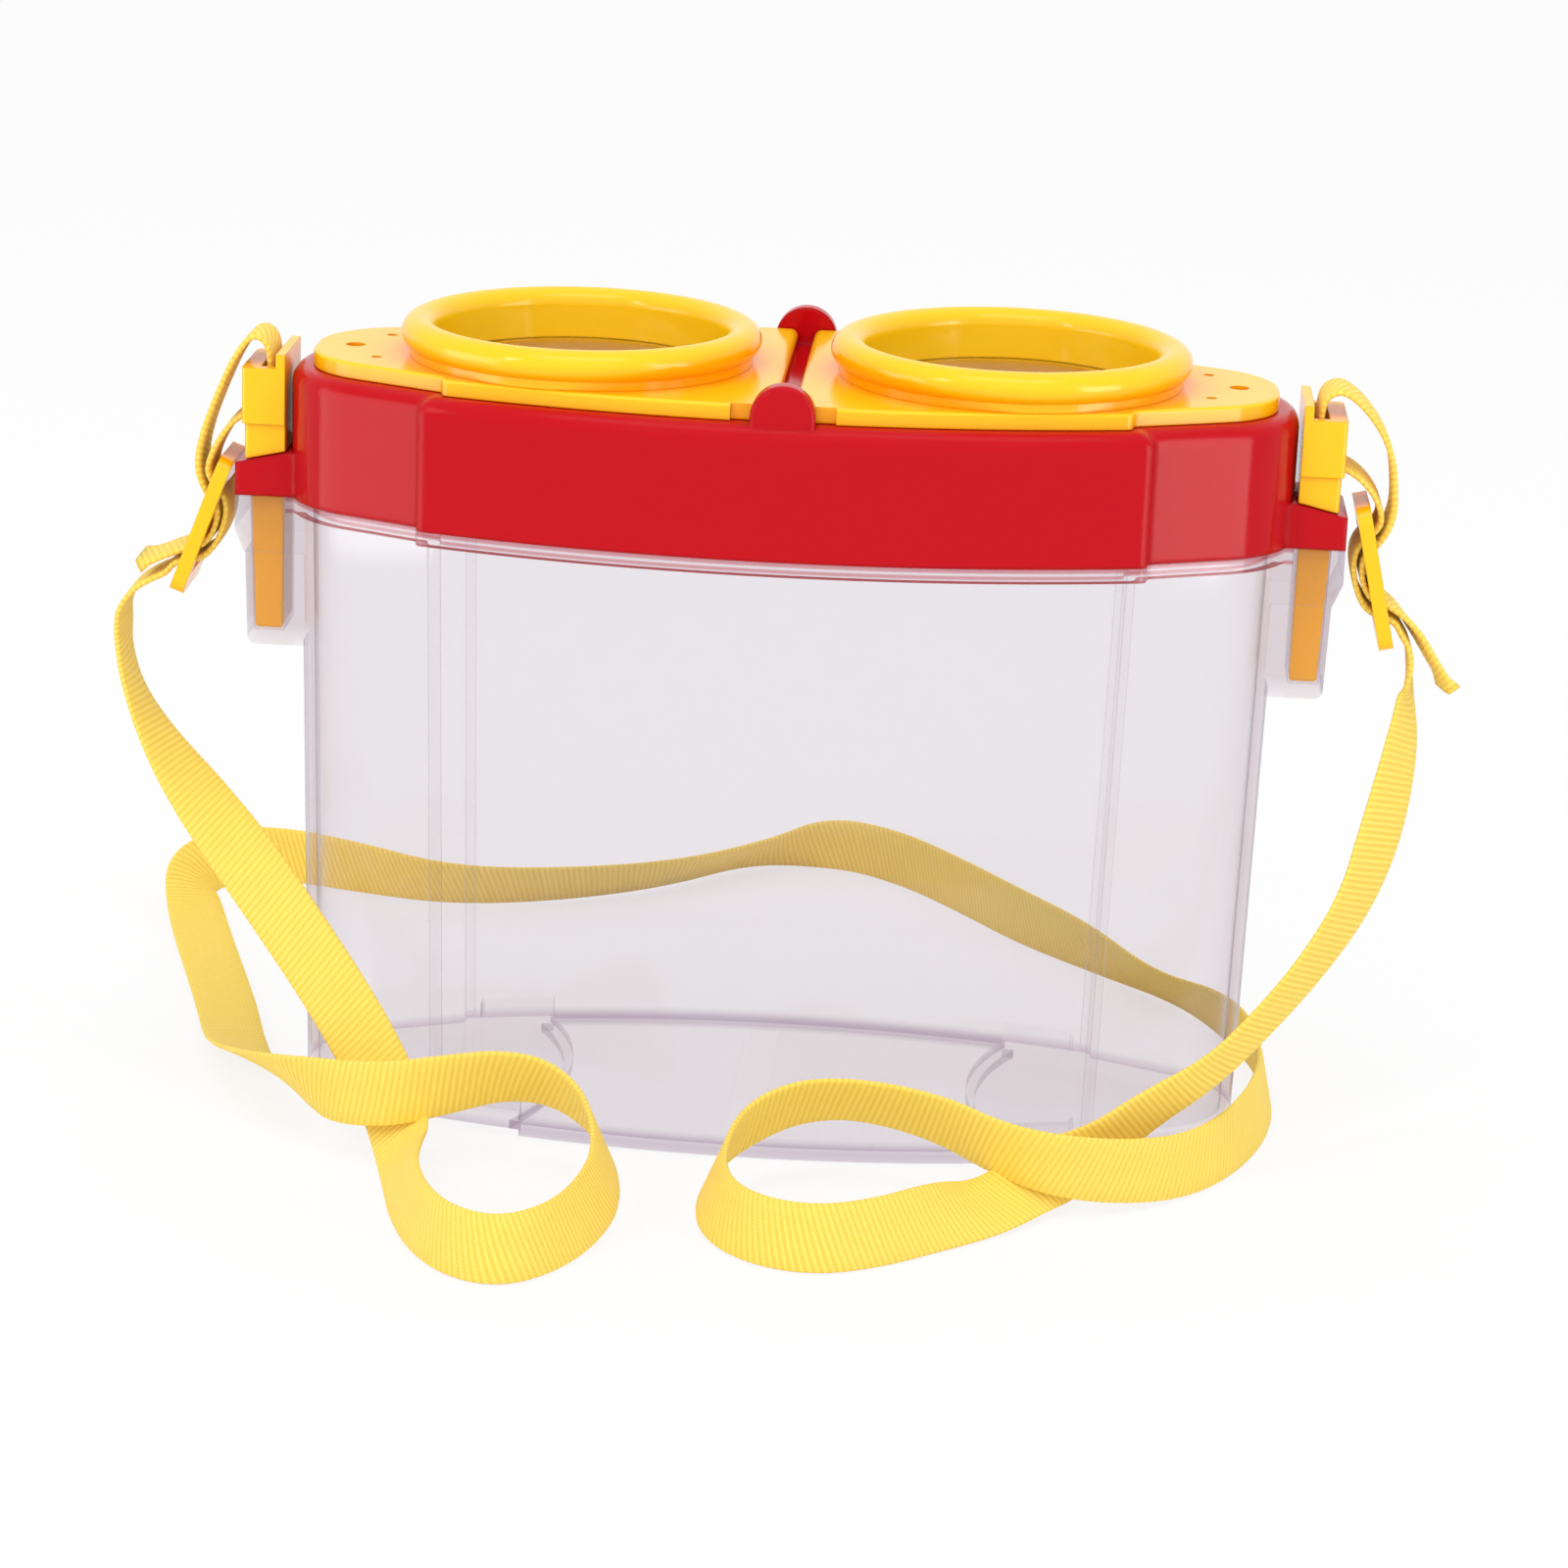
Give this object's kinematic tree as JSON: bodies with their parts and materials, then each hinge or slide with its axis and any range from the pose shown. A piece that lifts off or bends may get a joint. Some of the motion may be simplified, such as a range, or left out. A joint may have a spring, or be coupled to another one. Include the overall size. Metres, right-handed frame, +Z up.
{
  "type": "bug catcher jar",
  "caption": "Clear oval collecting jar with a lift-off lid, hinged magnifier flaps on top, pull-up latches at the ends and a flat neck strap.",
  "frame": {"origin": "middle of the jar's underside, on the surface it stands on", "axes": "+X along the jar's length towards the right latch, +Z up, -Y towards the front"},
  "size_m": [0.2128, 0.1975, 0.1228],
  "materials": {
    "clear_plastic": "clear gloss",
    "clear_lens": "clear gloss",
    "red_plastic": "gloss",
    "yellow_plastic": "gloss",
    "strap_webbing": "ribbed webbing"
  },
  "bodies": {
    "jar": {"jar": "clear_plastic", "strap_floor": "strap_webbing"},
    "lid": {"lid": "red_plastic"},
    "left_flap": {"left_flap": "yellow_plastic", "left_lens_ring": "yellow_plastic", "left_lens": "clear_lens"},
    "right_flap": {"right_flap": "yellow_plastic", "right_lens_ring": "yellow_plastic", "right_lens": "clear_lens"},
    "left_latch": {"left_latch": "yellow_plastic", "left_slider": "yellow_plastic", "strap_left_end": "strap_webbing", "strap_left_hang": "strap_webbing"},
    "right_latch": {"right_latch": "yellow_plastic", "right_slider": "yellow_plastic", "strap_right_end": "strap_webbing", "strap_right_hang": "strap_webbing"}
  },
  "joints": [
    {"name": "lid_lift", "type": "slide", "parent": "jar", "child": "lid", "axis": [0, 0, 1], "range_m": [0, 0.06]},
    {"name": "left_flap_hinge", "type": "hinge", "parent": "lid", "child": "left_flap", "pos_m": [-0.0025, 0, 0.1157], "axis": [0, 1, 0], "range_deg": [0, 45]},
    {"name": "right_flap_hinge", "type": "hinge", "parent": "lid", "child": "right_flap", "pos_m": [0.0025, 0, 0.1157], "axis": [0, -1, 0], "range_deg": [0, 45]},
    {"name": "left_latch_pull", "type": "slide", "parent": "lid", "child": "left_latch", "axis": [0, 0, 1], "range_m": [0, 0.03]},
    {"name": "right_latch_pull", "type": "slide", "parent": "lid", "child": "right_latch", "axis": [0, 0, 1], "range_m": [0, 0.03]}
  ]
}
